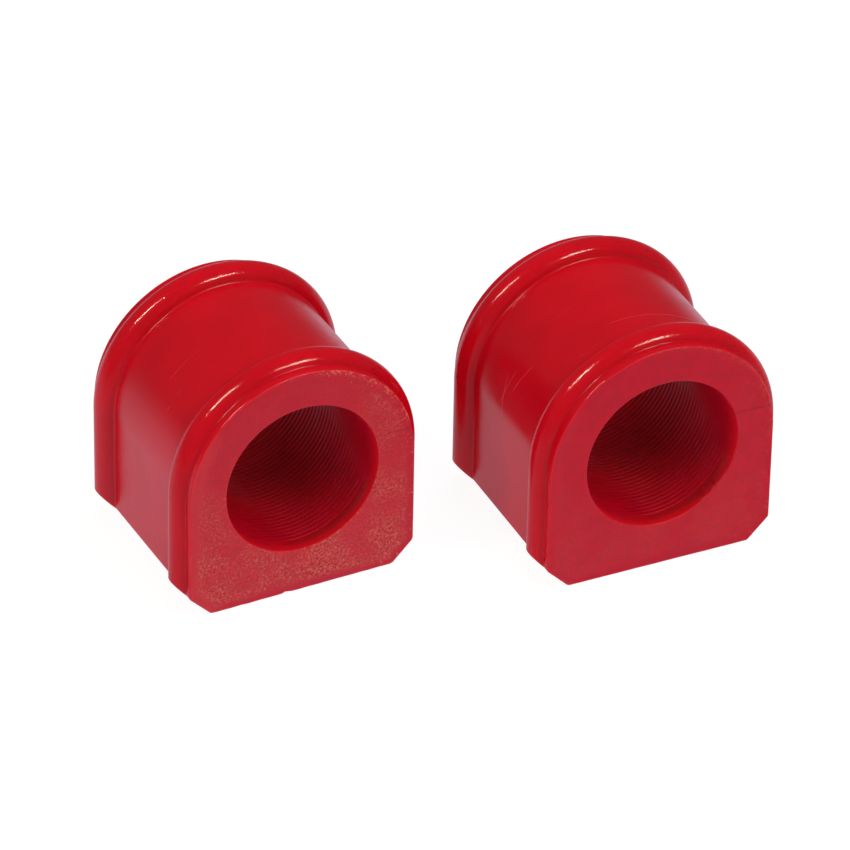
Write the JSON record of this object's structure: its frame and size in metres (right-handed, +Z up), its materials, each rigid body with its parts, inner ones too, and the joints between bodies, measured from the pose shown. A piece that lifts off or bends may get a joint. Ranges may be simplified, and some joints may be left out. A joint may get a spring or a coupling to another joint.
{
  "type": "sway bar bushings",
  "caption": "Red polyurethane sway bar bushings: D-shaped blocks with a grooved bore for the bar, a flat seat, and half-round end ribs that locate a clamp bracket.",
  "frame": {"origin": "bottom centre of the pair's box, on the surface that both seats stand on", "axes": "+X across the bars from the left bushing to the right one, +Y along the bars towards the back, +Z up from the seats"},
  "size_m": [0.1182, 0.066, 0.0511],
  "materials": {
    "polyurethane": "moulded, glossy ribs and body, matte end faces"
  },
  "bodies": {
    "left": {"bushing_left": "polyurethane"},
    "right": {"bushing_right": "polyurethane"}
  },
  "joints": [
    {"name": "right_lift", "type": "slide", "parent": "left", "child": "right", "axis": [0, 0, 1], "range_m": [0, 0.08]}
  ]
}
